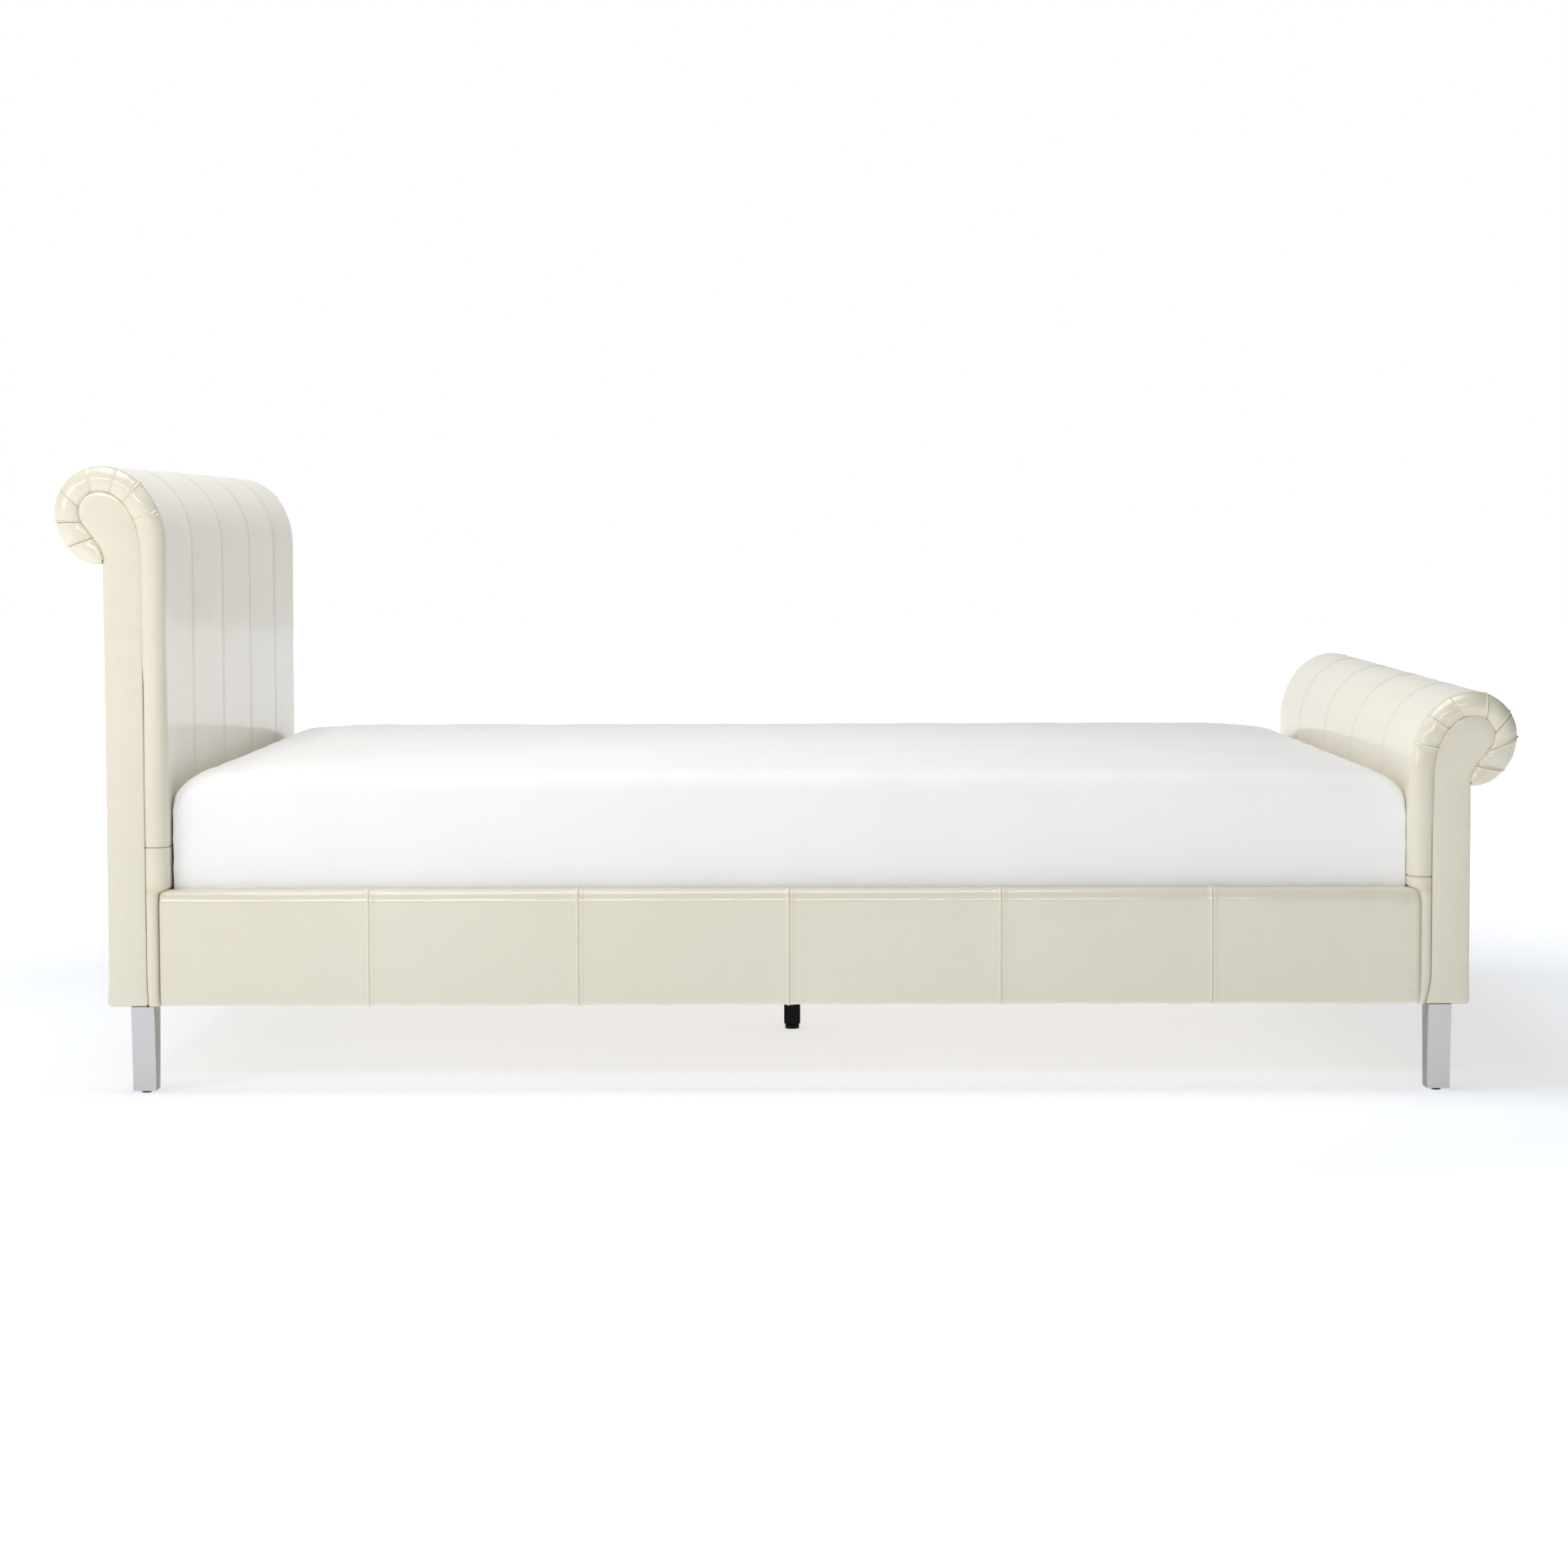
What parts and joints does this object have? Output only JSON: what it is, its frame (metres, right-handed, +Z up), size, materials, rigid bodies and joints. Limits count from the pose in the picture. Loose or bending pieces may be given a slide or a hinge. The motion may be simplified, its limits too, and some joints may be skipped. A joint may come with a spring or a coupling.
{
  "type": "sleigh bed",
  "caption": "Upholstered sleigh bed: outward-rolled headboard, lower rolled footboard, padded side rails, metal legs, slatted base, mattress in a fitted sheet.",
  "frame": {"origin": "on the floor, under the middle of the bed's overall box", "axes": "+X from the headboard to the footboard, +Z up; -Y is the left of the bed seen from its foot"},
  "size_m": [2.387, 1.6, 1.031],
  "materials": {
    "ivory_leather": "satin",
    "plywood": "matte",
    "pine": "matte",
    "roll_foam": "matte",
    "brushed_metal": "satin",
    "black_steel": "satin",
    "black_plastic": "satin",
    "mattress_ticking": "matte",
    "sheet_cotton": "matte"
  },
  "bodies": {
    "bed_frame": {"headboard_face_panel": "plywood", "headboard_roll_core": "roll_foam", "headboard_cross_rail": "pine", "headboard_front_cover": "ivory_leather", "headboard_lower_cover": "ivory_leather", "headboard_back_cover": "ivory_leather", "headboard_scroll_board_left": "plywood", "headboard_side_facing_left": "ivory_leather", "headboard_leg_plate_left": "black_steel", "headboard_leg_left": "brushed_metal", "headboard_leg_glide_left": "black_plastic", "headboard_scroll_board_right": "plywood", "headboard_side_facing_right": "ivory_leather", "headboard_leg_plate_right": "black_steel", "headboard_leg_right": "brushed_metal", "headboard_leg_glide_right": "black_plastic", "footboard_face_panel": "plywood", "footboard_roll_core": "roll_foam", "footboard_cross_rail": "pine", "footboard_front_cover": "ivory_leather", "footboard_lower_cover": "ivory_leather", "footboard_back_cover": "ivory_leather", "footboard_scroll_board_left": "plywood", "footboard_side_facing_left": "ivory_leather", "footboard_leg_plate_left": "black_steel", "footboard_leg_left": "brushed_metal", "footboard_leg_glide_left": "black_plastic", "footboard_scroll_board_right": "plywood", "footboard_side_facing_right": "ivory_leather", "footboard_leg_plate_right": "black_steel", "footboard_leg_right": "brushed_metal", "footboard_leg_glide_right": "black_plastic", "side_rail_core_left": "plywood", "side_rail_cover_left": "ivory_leather", "slat_ledger_left": "pine", "corner_bracket_head_left": "black_steel", "corner_bracket_foot_left": "black_steel", "side_rail_core_right": "plywood", "side_rail_cover_right": "ivory_leather", "slat_ledger_right": "pine", "corner_bracket_head_right": "black_steel", "corner_bracket_foot_right": "black_steel", "center_beam": "pine", "center_beam_bracket_head": "black_steel", "center_beam_bracket_foot": "black_steel", "center_leg": "black_plastic", "center_leg_foot": "black_plastic", "slat_01": "pine", "slat_02": "pine", "slat_03": "pine", "slat_04": "pine", "slat_05": "pine", "slat_06": "pine", "slat_07": "pine", "slat_08": "pine", "slat_09": "pine", "slat_10": "pine", "slat_11": "pine"},
    "bedding": {"mattress": "mattress_ticking", "fitted_sheet": "sheet_cotton"}
  },
  "joints": [
    {"name": "mattress_lift", "type": "slide", "parent": "bed_frame", "child": "bedding", "axis": [0, 0, 1], "range_m": [0, 0.42]}
  ]
}
